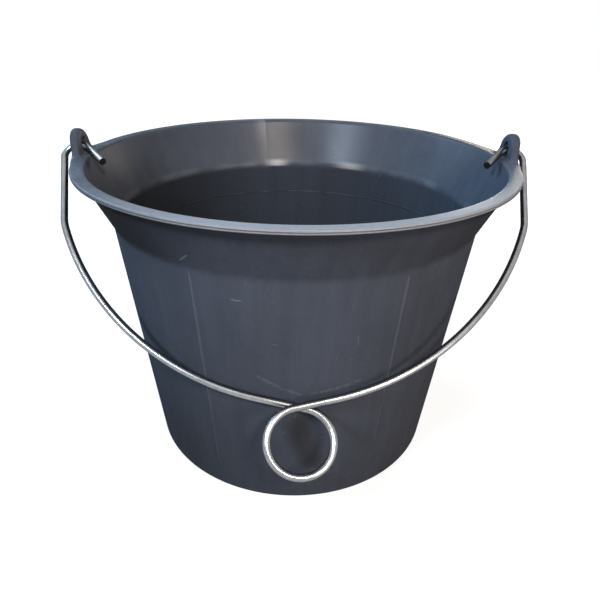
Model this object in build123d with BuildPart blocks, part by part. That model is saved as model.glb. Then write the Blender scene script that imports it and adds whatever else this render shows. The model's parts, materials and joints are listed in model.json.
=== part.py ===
from build123d import *
import os
from math import asin, atan, cos, degrees, hypot, pi, radians, sin, sqrt, tan

# A builder's bucket: one plastic moulding with two ears on its lip, and one wire bail that turns in the
# ears' holes and hangs in front of the wall. Millimetres, +Z up, the origin at the centre of the base,
# the ears on the X axis and the bail on the -Y side.

# Bucket body
rim_height = 228.0        # top of the lip above the surface that the bucket stands on
base_radius = 117.0       # outside of the wall, carried down to the base
kink_radius = 134.8       # outside of the wall where it turns into the flare
kink_height = 190.0
lip_radius = 157.0        # outer edge of the lip
lip_overhang = 5.8        # the lip's edge beyond the outside of the flare
lip_width = 9.0           # flat top of the lip, out from the mouth's edge
lip_thickness = 3.2
wall = 2.6
floor_thickness = 3.2
base_round = 4.0          # outer edge of the base
floor_round = 9.0         # inner corner between floor and wall
kink_round = 15.0         # inner and outer turn at the kink
lip_round = 1.0           # outer edges of the lip
mouth_round = 3.0         # inner edge of the lip
flare_round = 1.6         # inner corner between the flare and the lip's underside
groove_drop = 1.5         # parting groove round the lip's edge, below the top
groove_radius = 0.35

# Ridges down the outside of the wall, and the level line inside it
ridge_count = 6
ridge_gather = 1.85       # degrees, how far the ridges draw together towards the front and the back
ridge_width = 2.2
ridge_height = 0.5
ridge_foot = 16.0         # lower end of the ridges above the base
level_height = 163.0
level_radius = 0.5        # half-round bead of the level line

# Ears
ear_overhang = 3.0        # outer face of the ear's foot beyond the lip's edge
ear_thickness = 6.5       # at the foot
ear_splay = 5.3           # degrees, the outer face leans outwards
ear_draft = 2.0           # degrees, the inner face leans outwards
ear_crown = 13.5          # radius of the rounded top
ear_margin = 5.4          # plastic above the hole
ear_lean = 18.5           # degrees, the sides of the tongue from upright
ear_sweep = 8.0           # hollow radius where the tongue's sides run out on the lip
ear_blend = 3.0           # hollow radius between the inner face and the lip's top
ear_sink = 0.15           # the hollow radii run out this far below the lip's top
ear_shoulder = 14.0       # how far the lip stays widened beside the ear's foot
ear_edge = 2.8            # rounding of the tongue's edges
hole_radius = 5.0

# Wire bail
wire = 5.0                # diameter
hinge_rise = 5.0          # axis of the bail above the top of the lip
pin_clearance = 0.2       # between the wire and the bottom of the ear's hole
side_play = 1.2           # how far the bail can slide along its axis
outer_bend = 9.0          # radii are to the middle of the wire
outer_inset = 3.05        # the outer bend starts this far inside the ear's outer face
leg_lean = 6.0            # degrees, the legs draw in away from the ears
leg_length = 47.9
shoulder_bend = 30.0
shoulder_turn = 14.0      # degrees
cross_angle = 12.2        # degrees, slope of each strand where the two cross
straight_run = 30.0       # straight end of each bow before the crossing
ring_inside = 37.5        # clear diameter of the ring
ring_shift = 2.5          # the ring is bent this far to the right of the bail's middle
strand_gap = 0.5          # between the two strands where they cross
hook_bend = 4.5
hook_inset = 1.3          # the hook's bend starts this far inside the ear's inner face
hook_turn = 50.0          # degrees, away from the hinge axis
hook_twist = 26.0         # degrees, the hook stands forward of the bail's plane
hook_length = 25.0        # straight end of the hook
hook_chamfer = 0.4
wall_gap = 0.4            # between the hanging wire and the wall

# Worked out from the sizes above
wall_slope = (kink_radius - base_radius) / kink_height
wall_across = wall * sqrt(1 + wall_slope**2)
mouth_radius = lip_radius - lip_width
flare_radius = lip_radius - lip_overhang
lip_bottom = rim_height - lip_thickness
inner_kink_radius = kink_radius - wall_across
inner_base_radius = base_radius + wall_slope * floor_thickness - wall_across
wire_radius = wire / 2
hinge_height = rim_height + hinge_rise
ear_outer = lip_radius + ear_overhang
ear_inner = ear_outer - ear_thickness
ear_base = rim_height - ear_sink
inner_lean = radians(ear_draft)
outer_lean = radians(ear_splay)
hole_outer = ear_outer + hinge_rise * tan(outer_lean)
hole_inner = ear_inner + (hinge_height - ear_base) * tan(inner_lean)
deepest_inset = outer_inset + side_play / 2
pin_reach = outer_bend - sqrt((outer_bend - wire_radius)**2 - deepest_inset**2)
hole_height = hinge_height + hole_radius - pin_reach - pin_clearance
ear_top = hole_height + hole_radius + ear_margin


def outer_wall(height):
    """Radius of the wall's outside at a height below the kink."""
    return base_radius + wall_slope * height


# Shell: floor, wall, flare and lip are one revolved profile
with BuildPart() as bucket_body:
    with BuildSketch(Plane.XZ) as shell_profile:
        with BuildLine():
            Polyline(
                (0, 0),
                (base_radius, 0),
                (kink_radius, kink_height),
                (flare_radius, lip_bottom),
                (lip_radius, lip_bottom),
                (lip_radius, rim_height),
                (mouth_radius, rim_height),
                (inner_kink_radius, kink_height),
                (inner_base_radius, floor_thickness),
                (0, floor_thickness),
                close=True,
            )
        make_face()
        for radius, height, rounding in [
            (base_radius, 0, base_round),
            (kink_radius, kink_height, kink_round),
            (flare_radius, lip_bottom, flare_round),
            (lip_radius, lip_bottom, lip_round),
            (lip_radius, rim_height, lip_round),
            (mouth_radius, rim_height, mouth_round),
            (inner_kink_radius, kink_height, kink_round),
            (inner_base_radius, floor_thickness, floor_round),
        ]:
            fillet(shell_profile.vertices().sort_by_distance((radius, height))[0], rounding)
    revolve(axis=Axis.Z)

    # Parting groove round the lip's edge
    with BuildSketch(Plane.XZ):
        with Locations((lip_radius, rim_height - groove_drop)):
            Circle(groove_radius)
    revolve(axis=Axis.Z, mode=Mode.SUBTRACT)

    # Level line: a fine bead round the inside of the wall
    with BuildSketch(Plane.XZ):
        with Locations((outer_wall(level_height) - wall_across, level_height)):
            Circle(level_radius)
    revolve(axis=Axis.Z)

    # Ridges: each follows the wall's slope from near the base up to the kink
    for ridge in range(ridge_count):
        bearing = ridge * 360 / ridge_count
        bearing += ridge_gather * sin(2 * radians(bearing))
        with BuildSketch(Plane.XZ.rotated((0, 0, bearing))):
            with BuildLine():
                Polyline(
                    (outer_wall(ridge_foot) - wall / 2, ridge_foot),
                    (outer_wall(ridge_foot) + ridge_height, ridge_foot),
                    (kink_radius + ridge_height, kink_height),
                    (kink_radius - wall / 2, kink_height),
                    close=True,
                )
            make_face()
        extrude(amount=ridge_width / 2, both=True)

# Ear: a tongue that rises from the lip, held between its outlines from the side, the front and above
tongue_lean = radians(ear_lean)
side_top = (ear_crown * cos(tongue_lean), ear_top - ear_crown * (1 - sin(tongue_lean)))
side_foot = side_top[0] + (side_top[1] - ear_base) * tan(tongue_lean)
sweep_run = ear_sweep * tan((pi / 2 - tongue_lean) / 2)
sweep_top = (side_foot - sweep_run * sin(tongue_lean), ear_base + sweep_run * cos(tongue_lean))
ear_foot = side_foot + sweep_run
blend_run = ear_blend * tan((pi / 2 - inner_lean) / 2)
blend_foot = (ear_inner - blend_run, ear_base)
blend_top = (ear_inner + blend_run * sin(inner_lean), ear_base + blend_run * cos(inner_lean))
inner_top = (ear_inner + (ear_top - ear_base) * tan(inner_lean), ear_top)
outer_reach = ear_outer + (ear_top - rim_height) * tan(outer_lean)
shoulder_half = ear_foot + ear_shoulder
shoulder_end = sqrt(lip_radius**2 - shoulder_half**2)
shoulder_centre = (ear_outer**2 - lip_radius**2) / (2 * (ear_outer - shoulder_end))
shoulder_radius = ear_outer - shoulder_centre

with BuildPart() as ear:
    # Outline seen along the hinge axis
    with BuildSketch(Plane.YZ):
        with BuildLine():
            Line((0, lip_bottom), (ear_foot, lip_bottom))
            Line((ear_foot, lip_bottom), (ear_foot, ear_base))
            TangentArc((ear_foot, ear_base), sweep_top, tangent=(-1, 0))
            Line(sweep_top, side_top)
            TangentArc(side_top, (0, ear_top), tangent=(-sin(tongue_lean), cos(tongue_lean)))
            mirror(about=Plane.YZ)
        make_face()
    extrude(amount=outer_reach)
    # Inner face seen from the front: drafted, with a hollow at the lip
    with BuildSketch(Plane.XZ):
        with BuildLine():
            Polyline(blend_top, inner_top, (outer_reach, ear_top), (outer_reach, lip_bottom))
            Polyline((outer_reach, lip_bottom), (blend_foot[0], lip_bottom), blend_foot)
            TangentArc(blend_foot, blend_top, tangent=(1, 0))
        make_face()
    extrude(amount=ear_foot, both=True, mode=Mode.INTERSECT)
    # Outer face: part of a cone that runs into the lip's edge on either side
    with Locations((shoulder_centre, 0, lip_bottom)):
        Cone(
            bottom_radius=shoulder_radius - lip_thickness * tan(outer_lean),
            top_radius=shoulder_radius + (ear_top - rim_height) * tan(outer_lean),
            height=ear_top - lip_bottom,
            align=(Align.CENTER, Align.CENTER, Align.MIN),
            mode=Mode.INTERSECT,
        )
    crest = ear.edges().filter_by(lambda edge: edge.center().Z > sweep_top[1])
    fillet(crest - ear.edges().filter_by(Axis.X), ear_edge)
    # The lip stays widened beside the tongue's foot
    with BuildSketch(Plane.XY.offset(rim_height)):
        with Locations((shoulder_centre, 0)):
            Circle(shoulder_radius)
        with Locations((ear_outer, 0)):
            Rectangle(ear_outer, 2 * shoulder_half, mode=Mode.INTERSECT)
        Circle(lip_radius - lip_width / 2, mode=Mode.SUBTRACT)
    extrude(amount=-lip_thickness, taper=ear_splay)
    # Hole for the bail
    with Locations(Plane((outer_reach, 0, hole_height), z_dir=(1, 0, 0))):
        Hole(hole_radius, depth=outer_reach - mouth_radius)

with bucket_body:
    add(ear.part)
    mirror(ear.part, about=Plane.YZ)

# Bail: each arm laid out flat, as points (across from the bail's middle, down from the hinge axis). A
# heading is the angle of the wire's run from straight down, positive towards the middle.
outwards = -pi / 2
inwards = pi / 2
legs = radians(leg_lean)
shoulder = radians(leg_lean + shoulder_turn)
crossing = inwards - radians(cross_angle)
hook = inwards - radians(hook_turn)
ring_radius = (ring_inside + wire) / 2
bail_middle = -side_play / 2    # slid to the left, until the right bend stands at its ear
bow_steps = 60                  # points at which a bow is held against the wall
tilt_halvings = 40              # steps that close in on the resting tilt


def ahead(point, length, heading):
    """End of a straight run of wire."""
    return (point[0] - length * sin(heading), point[1] + length * cos(heading))


def turned(point, radius, start, end):
    """End of a bend from one heading to another; a negative radius bends the other way."""
    return (
        point[0] + radius * (cos(end) - cos(start)),
        point[1] + radius * (sin(end) - sin(start)),
    )


pin_outer = (hole_outer - outer_inset, 0)
leg_top = turned(pin_outer, outer_bend, outwards, legs)
leg_foot = ahead(leg_top, leg_length, legs)
bow_start = turned(leg_foot, shoulder_bend, legs, shoulder)
pin_inner = (hole_inner + hook_inset, 0)
hook_start = turned(pin_inner, -hook_bend, inwards, hook)
hook_tip = ahead(hook_start, hook_length, hook)

# With the ring in the middle, both arms would have the same bow; off the middle, the straight runs make
# up the difference, and both strands still cross at the same depth
bow_across = cos(shoulder) - cos(crossing)
bow_down = sin(crossing) - sin(shoulder)
even_bow = (bow_start[0] + ring_radius * cos(crossing) - straight_run * sin(crossing)) / bow_across
uneven = ring_shift / (sin(crossing) * bow_down - cos(crossing) * bow_across)
bail_drop = bow_start[1] + even_bow * bow_down + straight_run * cos(crossing)


def bow_radius(side):
    """Radius of the long bow of the right arm (1) or the left one (-1)."""
    return even_bow + side * uneven * cos(crossing)


def run_length(side):
    """Straight end of the right arm (1) or the left one (-1)."""
    return straight_run - side * uneven * bow_down


def hung(point, tilt, side):
    """Place of an arm's point when the arm's plane is tilted forwards from straight down."""
    return Vector(
        bail_middle + side * point[0],
        -point[1] * sin(tilt),
        hinge_height - point[1] * cos(tilt),
    )


def wall_distance(tilt, side):
    """Least distance from the middle of an arm's bow and straight run to the outside of the wall."""
    shares = [step / bow_steps for step in range(bow_steps + 1)]
    bow = [
        turned(bow_start, bow_radius(side), shoulder, shoulder + (crossing - shoulder) * share)
        for share in shares
    ]
    run = [ahead(bow[-1], run_length(side) * share, crossing) for share in shares]
    places = [hung(point, tilt, side) for point in bow + run]
    gaps = [hypot(place.X, place.Y) - outer_wall(place.Z) for place in places]
    return min(gaps) * cos(atan(wall_slope))


# The bail hangs until its left arm, whose strand is the back one, comes up to the wall
low_tilt = 0.0
back_tilt = pi / 2
for halving in range(tilt_halvings):
    middle_tilt = (low_tilt + back_tilt) / 2
    if wall_distance(middle_tilt, -1) < wire_radius + wall_gap:
        low_tilt = middle_tilt
    else:
        back_tilt = middle_tilt
strand_offset = (wire + strand_gap) / 2
strand_tilt = asin(strand_offset / bail_drop)
ring_tilt = back_tilt + strand_tilt
front_tilt = ring_tilt + strand_tilt

# Ring: one turn below the crossing that passes from the front strand to the back one
ring_spans = 8
ring_start = radians(cross_angle)
ring_turn = 2 * pi - 2 * ring_start
ring_drop = bail_drop * cos(strand_tilt) + ring_radius * cos(ring_start)
ring_down = Vector(0, -sin(ring_tilt), -cos(ring_tilt))
ring_out = Vector(0, -cos(ring_tilt), sin(ring_tilt))
ring_across = bail_middle + ring_shift


def ring_place(angle):
    """Point of the ring's middle line, by the angle from the top round its left side."""
    share = pi * (angle - ring_start) / ring_turn
    down = ring_drop - ring_radius * cos(angle)
    place = Vector(ring_across - ring_radius * sin(angle), 0, hinge_height)
    return place + ring_down * down + ring_out * (strand_offset * cos(share))


def ring_heading(angle):
    """Unit tangent of the ring's middle line."""
    share = pi * (angle - ring_start) / ring_turn
    run = Vector(-ring_radius * cos(angle), 0, 0) + ring_down * (ring_radius * sin(angle))
    return (run - ring_out * (strand_offset * pi / ring_turn * sin(share))).normalized()


def arm_heading(heading, tilt, side):
    """Unit tangent of an arm, in space."""
    return (hung(ahead((0, 0), 1, heading), tilt, side) - hung((0, 0), tilt, side)).normalized()


def arm(tilt, side):
    """One arm's middle line, from the hook's tip to the crossing."""

    def run(start, end, plane):
        Line(hung(start, plane, side), hung(end, plane, side))

    def bend(start, radius, heading, end_heading, plane):
        middle = turned(start, radius, heading, (heading + end_heading) / 2)
        end = turned(start, radius, heading, end_heading)
        ThreePointArc(*[hung(point, plane, side) for point in (start, middle, end)])

    hook_tilt = tilt + radians(hook_twist)
    run(hook_tip, hook_start, hook_tilt)
    bend(pin_inner, -hook_bend, inwards, hook, hook_tilt)
    run(pin_inner, pin_outer, tilt)
    bend(pin_outer, outer_bend, outwards, legs, tilt)
    run(leg_top, leg_foot, tilt)
    bend(leg_foot, shoulder_bend, legs, shoulder, tilt)
    bend(bow_start, bow_radius(side), shoulder, crossing, tilt)
    bow_end = turned(bow_start, bow_radius(side), shoulder, crossing)
    run(bow_end, ahead(bow_end, run_length(side), crossing), tilt)


def biarc(start, start_heading, end, end_heading):
    """Two arcs that join two points and run along a given heading at each of them."""
    span = end - start
    reach = span.dot(start_heading + end_heading)
    twist = 2 * (start_heading.dot(end_heading) - 1)
    lever = (reach - sqrt(reach**2 - twist * span.dot(span))) / twist
    joint = (start + end + (start_heading - end_heading) * lever) * 0.5
    first = TangentArc(start, joint, tangent=start_heading)
    TangentArc(joint, end, tangent=first % 1)


with BuildPart() as wire_bail:
    with BuildLine() as bail_path:
        arm(front_tilt, 1)
        angles = [ring_start + ring_turn * span / ring_spans for span in range(ring_spans + 1)]
        places = [ring_place(angle) for angle in angles]
        headings = [ring_heading(angle) for angle in angles]
        headings[0] = arm_heading(crossing, front_tilt, 1)
        headings[-1] = -arm_heading(crossing, back_tilt, -1)
        for span in range(ring_spans):
            biarc(places[span], headings[span], places[span + 1], headings[span + 1])
        arm(back_tilt, -1)
    with BuildSketch(Plane(bail_path.line @ 0, z_dir=bail_path.line % 0)):
        Circle(wire_radius)
    sweep(path=bail_path.wire())
    chamfer(wire_bail.faces().filter_by(GeomType.PLANE).edges(), hook_chamfer)

wire_length = bail_path.wire().length
straight_volume = wire_length * pi * wire_radius**2
print("wire length", wire_length, "volume over section times length", wire_bail.part.volume / straight_volume)
print("hinge height", hinge_height, "tilts", [degrees(tilt) for tilt in (back_tilt, ring_tilt, front_tilt)])

os.makedirs("parts", exist_ok=True)
bucket_body.part.label = "bucket_body"
export_step(bucket_body.part, "parts/bucket_body.step")
wire_bail.part.label = "wire_bail"
export_step(wire_bail.part, "parts/wire_bail.step")
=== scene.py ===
"""A builder's bucket: one plastic moulding with two ears, and a wire bail that hangs from them.

Metres, +Z up. The origin is at the centre of the base, the ears lie on the X axis and the bail hangs on
the -Y side.
"""

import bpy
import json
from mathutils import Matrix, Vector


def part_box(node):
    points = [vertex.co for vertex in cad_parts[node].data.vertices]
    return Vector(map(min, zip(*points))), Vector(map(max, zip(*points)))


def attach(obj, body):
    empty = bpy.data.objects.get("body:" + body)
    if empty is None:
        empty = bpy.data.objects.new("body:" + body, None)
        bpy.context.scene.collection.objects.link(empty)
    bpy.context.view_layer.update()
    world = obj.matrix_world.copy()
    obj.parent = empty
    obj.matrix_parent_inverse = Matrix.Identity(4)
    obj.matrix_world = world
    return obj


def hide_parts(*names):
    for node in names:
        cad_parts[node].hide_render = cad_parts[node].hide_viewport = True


bl_info = {
    "name": "Builder's Bucket",
    "version": (1, 0, 0),
    "blender": (4, 5, 0),
    "location": "3D View > Sidebar > Bucket",
    "description": "A moulded plastic bucket with ridges, ears and a hanging wire bail",
    "category": "Add Mesh",
}

import json
from math import asin, atan2, cos, hypot, pi, radians, sin, sqrt, tan

import bmesh
import bpy
import numpy as np
from bpy.props import FloatProperty, FloatVectorProperty, IntProperty, PointerProperty
from mathutils import Matrix, Vector

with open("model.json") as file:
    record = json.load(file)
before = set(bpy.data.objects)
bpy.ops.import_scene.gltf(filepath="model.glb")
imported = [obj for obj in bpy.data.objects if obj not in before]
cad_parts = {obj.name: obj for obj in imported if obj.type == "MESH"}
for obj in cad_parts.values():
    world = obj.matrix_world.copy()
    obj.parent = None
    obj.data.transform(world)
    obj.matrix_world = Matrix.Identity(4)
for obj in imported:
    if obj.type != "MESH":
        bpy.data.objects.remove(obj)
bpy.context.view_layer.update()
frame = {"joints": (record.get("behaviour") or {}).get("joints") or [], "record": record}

MM = 0.001
same_place = 0.0005 * MM
sliver_length = 0.002 * MM
moulding_crease = radians(50)
wire_crease = radians(35)
body_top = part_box("bucket_body")[1]
hinge_place = frame["joints"][0]["pos_m"]
ring_place = next(mount["pos_m"] for mount in frame["record"]["mounts"] if mount["name"] == "ring_eye")
slot_colours = {slot["slot"]: slot["base_color"] for slot in frame["record"]["materials"]}


def tinted(tint, factor):
    """A colour made lighter or darker."""
    return tuple(part * factor for part in tint)


def length(name, description, millimetres):
    """A size that the sidebar shows with its unit."""
    return FloatProperty(
        name=name,
        description=description,
        default=millimetres * MM,
        subtype="DISTANCE",
        unit="LENGTH",
        precision=4,
    )


def angle(name, description, degrees):
    """An angle that the sidebar shows in degrees."""
    return FloatProperty(
        name=name, description=description, default=radians(degrees), subtype="ANGLE", unit="ROTATION"
    )


def colour(name, description, default):
    """A colour, as linear red, green and blue."""
    return FloatVectorProperty(
        name=name, description=description, default=default, size=3, subtype="COLOR", min=0, max=1
    )


def share(name, description, default):
    """A number from 0 to 1."""
    return FloatProperty(name=name, description=description, default=default, subtype="FACTOR", min=0, max=1)


def watts(name, description, default):
    """The power of a lamp."""
    return FloatProperty(name=name, description=description, default=default, unit="POWER", min=0)


class ShellSizes(bpy.types.PropertyGroup):
    """Floor, wall, flare and lip of the moulding."""

    rim_height: length("Rim height", "Top of the lip above the base", 228)
    base_radius: length("Base radius", "Outside of the wall, carried down to the base", 117)
    kink_radius: length("Kink radius", "Outside of the wall where it turns into the flare", 134.8)
    kink_height: length("Kink height", "Height at which the wall turns into the flare", 190)
    lip_radius: length("Lip radius", "Outer edge of the lip", body_top.y / MM)
    lip_overhang: length("Lip overhang", "The lip's edge beyond the outside of the flare", 5.8)
    lip_width: length("Lip width", "Flat top of the lip, out from the mouth's edge", 9)
    lip_thickness: length("Lip thickness", "Height of the lip's edge", 3.2)
    wall: length("Wall", "Thickness of the wall", 2.6)
    floor: length("Floor", "Thickness of the floor", 3.2)
    base_round: length("Base rounding", "Outer edge of the base", 4)
    floor_round: length("Floor rounding", "Inner corner between floor and wall", 9)
    kink_round: length("Kink rounding", "Inner and outer turn at the kink", 15)
    lip_round: length("Lip rounding", "Outer edges of the lip", 1)
    mouth_round: length("Mouth rounding", "Inner edge of the lip", 3)
    flare_round: length("Flare rounding", "Corner under the lip", 1.6)
    groove_drop: length("Groove drop", "Parting groove below the top of the lip", 1.5)
    groove_radius: length("Groove radius", "Half the width of the parting groove", 0.35)
    level_height: length("Level height", "Level line inside the wall", 163)
    level_radius: length("Level radius", "Half-round bead of the level line", 0.5)


class EarSizes(bpy.types.PropertyGroup):
    """The two tongues on the lip that carry the bail."""

    top: length("Top", "Top of the ears above the base", body_top.z / MM)
    overhang: length("Overhang", "Outer face of the ear's foot beyond the lip's edge", 3)
    thickness: length("Thickness", "Thickness at the foot", 6.5)
    splay: angle("Splay", "Outward lean of the outer face", 5.3)
    draft: angle("Draft", "Outward lean of the inner face", 2)
    crown: length("Crown", "Radius of the rounded top", 13.5)
    lean: angle("Lean", "Sides of the tongue from upright", 18.5)
    sweep: length("Sweep", "Hollow radius where the sides run out on the lip", 8)
    blend: length("Blend", "Hollow radius between the inner face and the lip", 3)
    shoulder: length("Shoulder", "How far the lip stays widened beside the foot", 14)
    edge: length("Edge", "Rounding of the tongue's edges", 2.8)
    hole_radius: length("Hole radius", "Hole for the wire", 5)
    hole_margin: length("Hole margin", "Plastic above the hole", 5.4)
    hole_round: length("Hole rounding", "Rounding of the hole's two edges", 0.5)


class RidgeSizes(bpy.types.PropertyGroup):
    """Fine upright ridges on the outside of the wall."""

    count: IntProperty(name="Count", description="Ridges round the wall", default=6, min=1)
    gather: angle("Gather", "How far the ridges draw together towards the front and the back", 1.85)
    width: length("Width", "Width where a ridge leaves the wall", 2.6)
    height: length("Height", "How far a ridge stands out", 0.5)
    foot: length("Foot", "Lower end above the base", 16)
    fade: length("Fade", "How far a ridge runs on above the kink while it sinks in", 6)


class BailSizes(bpy.types.PropertyGroup):
    """The wire bail. Radii are to the middle of the wire."""

    wire: length("Wire", "Diameter of the wire", 5)
    sides: IntProperty(name="Sides", description="Flat sides of the wire's section", default=28, min=3)
    hole_outer: length("Hole, outside", "Outer face of the ear at the hinge, from the middle", 160.464)
    hole_inner: length("Hole, inside", "Inner face of the ear at the hinge, from the middle", 153.68)
    side_play: length("Side play", "How far the bail can slide along its axis", 1.2)
    outer_bend: length("Outer bend", "Bend outside the ear", 9)
    outer_inset: length("Outer inset", "The outer bend starts this far inside the ear's outer face", 3.05)
    leg_lean: angle("Leg lean", "The legs draw in away from the ears", 6)
    leg_length: length("Leg length", "Straight leg below the outer bend", 47.9)
    shoulder_bend: length("Shoulder bend", "Bend from the leg into the bow", 30)
    shoulder_turn: angle("Shoulder turn", "How far the shoulder turns", 14)
    cross_angle: angle("Crossing", "Slope of each strand where the two cross", 12.2)
    straight_run: length("Straight run", "Straight end of each bow before the crossing", 30)
    ring_inside: length("Ring inside", "Clear diameter of the ring", 37.5)
    ring_shift: length("Ring shift", "The ring lies this far to the right of the bail's middle", 2.5)
    strand_gap: length("Strand gap", "Between the strands where they cross", 0.5)
    hook_bend: length("Hook bend", "Bend inside the ear", 4.5)
    hook_inset: length("Hook inset", "The hook's bend starts this far inside the ear's inner face", 1.3)
    hook_turn: angle("Hook turn", "Turn of the hook away from the hinge axis", 50)
    hook_twist: angle("Hook twist", "The hook stands forward of the bail's plane", 26)
    hook_length: length("Hook length", "Straight end of the hook", 25)
    cut_edge: length("Cut edge", "Bevel at the cut end of the wire", 0.4)


class FinishChoices(bpy.types.PropertyGroup):
    """Colours and roughness of the plastic and the wire."""

    plastic: colour("Plastic", "Colour of the moulding", slot_colours["plastic"])
    # The pale colour of real scuffs and wear, also used for painted sheen and painted highlights.
    wear_and_highlight: colour("Rubbed plastic", "Colour of scuffs and worn edges", (0.28, 0.30, 0.33))
    # The colour of the painted highlights on the inner edge of the kink.
    highlight_white: colour("Whitened plastic", "Colour of the kink where it has been bent white", (0.5, 0.5, 0.49))
    # The dark colour of dirt, also used for painted shade outside and in the lip's groove.
    dirt_and_shade: colour("Grime", "Colour of the dirt on the outside and in grooves", (0.022, 0.020, 0.018))
    # A darker copy of the plastic, used for painted shade inside.
    inner_shade: colour("Stain", "Colour of the old dirt inside", tinted(slot_colours["plastic"], 0.28))
    plastic_gloss: share("Plastic roughness", "Roughness of the moulded skin", 0.62)
    polish_gloss: share("Polish roughness", "Roughness of the lip and of the inside of the flare", 0.33)
    zinc: colour("Zinc", "Colour of the wire's coating", tinted(slot_colours["wire"], 0.46))
    zinc_edge: colour("Zinc edge", "Colour of the wire's coating at a grazing look", (0.2, 0.21, 0.22))
    cut_steel: colour("Cut steel", "Colour of the wire's cut ends", (0.07, 0.07, 0.075))
    wire_gloss: share("Wire roughness", "Roughness of the drawn wire", 0.27)


class StageChoices(bpy.types.PropertyGroup):
    """Floor, light and camera."""

    floor: colour("Floor", "Colour of the floor", (0.22, 0.22, 0.22))
    floor_glow: share("Floor whiteness", "How much the floor is lifted to white in the picture", 0.82)
    sky: colour("Sky", "Colour of the light from all round", (0.85, 0.93, 1.0))
    sky_level: share("Sky level", "Strength of the light from all round", 0.08)
    front_power: watts("Front light", "Power of the main light, a little right of the front", 10.8)
    left_power: watts("Left light", "Power of the cool light at the left of the front", 12.5)
    low_power: watts("Low light", "Power of the weak warm light low at the right of the front", 7)
    back_power: watts("Back light", "Power of the cool light behind the left ear", 22)
    right_power: watts("Right light", "Power of the warm low light behind the right ear", 16)


class Value:
    """One output in a node tree. Arithmetic on it adds Math nodes to that tree."""

    def __init__(self, tree, socket):
        self.tree = tree
        self.socket = socket

    def out(self, name):
        """Another output of the same node."""
        return Value(self.tree, find_socket(self.socket.node.outputs, name))

    def __add__(self, other):
        return self.tree.math("ADD", self, other)

    def __radd__(self, other):
        return self.tree.math("ADD", other, self)

    def __sub__(self, other):
        return self.tree.math("SUBTRACT", self, other)

    def __rsub__(self, other):
        return self.tree.math("SUBTRACT", other, self)

    def __mul__(self, other):
        return self.tree.math("MULTIPLY", self, other)

    def __rmul__(self, other):
        return self.tree.math("MULTIPLY", other, self)

    def __truediv__(self, other):
        return self.tree.math("DIVIDE", self, other)

    def __rtruediv__(self, other):
        return self.tree.math("DIVIDE", other, self)

    def __abs__(self):
        return self.tree.math("ABSOLUTE", self)


def find_socket(sockets, name):
    """A socket by its place, identifier or name."""
    if isinstance(name, int):
        return sockets[name]
    for socket in sockets:
        if socket.identifier == name:
            return socket
    return sockets[name]


class Tree:
    """A node tree that is filled by expressions."""

    def __init__(self, node_tree):
        self.node_tree = node_tree

    def node(self, kind, settings=None, sockets=None):
        """Adds a node: first its settings, then the values or links of its sockets."""
        node = self.node_tree.nodes.new(kind)
        for name, setting in (settings or {}).items():
            setattr(node, name, setting)
        for name, value in (sockets or {}).items():
            socket = find_socket(node.inputs, name)
            if isinstance(value, Value):
                self.node_tree.links.new(value.socket, socket)
            else:
                socket.default_value = value
        return Value(self, node.outputs[0]) if node.outputs else node

    def math(self, operation, *operands):
        return self.node("ShaderNodeMath", {"operation": operation}, dict(enumerate(operands)))

    def ramp(self, value, low, high):
        """0 below low, 1 above high, and a smooth rise between; low may be the larger one."""
        return self.node(
            "ShaderNodeMapRange",
            {"interpolation_type": "SMOOTHSTEP"},
            {"Value": value, "From Min": low, "From Max": high},
        )

    def bump_at(self, value, middle, half_width):
        """1 where a value is at its middle, falling to 0 at either side."""
        return self.ramp(abs(value - middle), half_width, 0.0)

    def mix(self, factor, first, second):
        """One colour or the other, by a factor."""
        sockets = {"Factor_Float": factor, "A_Color": opaque(first), "B_Color": opaque(second)}
        return self.node("ShaderNodeMix", {"data_type": "RGBA"}, sockets).out("Result_Color")

    def clamp(self, value):
        """A value kept between 0 and 1."""
        return self.node("ShaderNodeClamp", {}, {"Value": value})

    def larger(self, *values):
        """The largest of some values."""
        most = values[0]
        for value in values[1:]:
            most = self.math("MAXIMUM", most, value)
        return most

    def stretch(self, vector, scale):
        """A vector with each of its parts scaled."""
        sockets = {"Vector": vector, "Scale": scale}
        return self.node("ShaderNodeMapping", {}, sockets)

    def noise(self, vector, scale, detail=2.0, roughness=0.5):
        """Soft noise from 0 to 1; scale is in waves per metre."""
        sockets = {"Vector": vector, "Scale": scale, "Detail": detail, "Roughness": roughness}
        return self.node("ShaderNodeTexNoise", {}, sockets)


def opaque(tint):
    """A colour with its alpha, or a link as it is."""
    return tint if isinstance(tint, Value) else (*tint, 1.0)


def new_material(name):
    """An empty material and its tree."""
    material = bpy.data.materials.new(name)
    material.use_nodes = True
    material.node_tree.nodes.clear()
    return material, Tree(material.node_tree)


def surface(tree, shader):
    """Ends a material's tree."""
    tree.node("ShaderNodeOutputMaterial", {}, {"Surface": shader})


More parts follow.
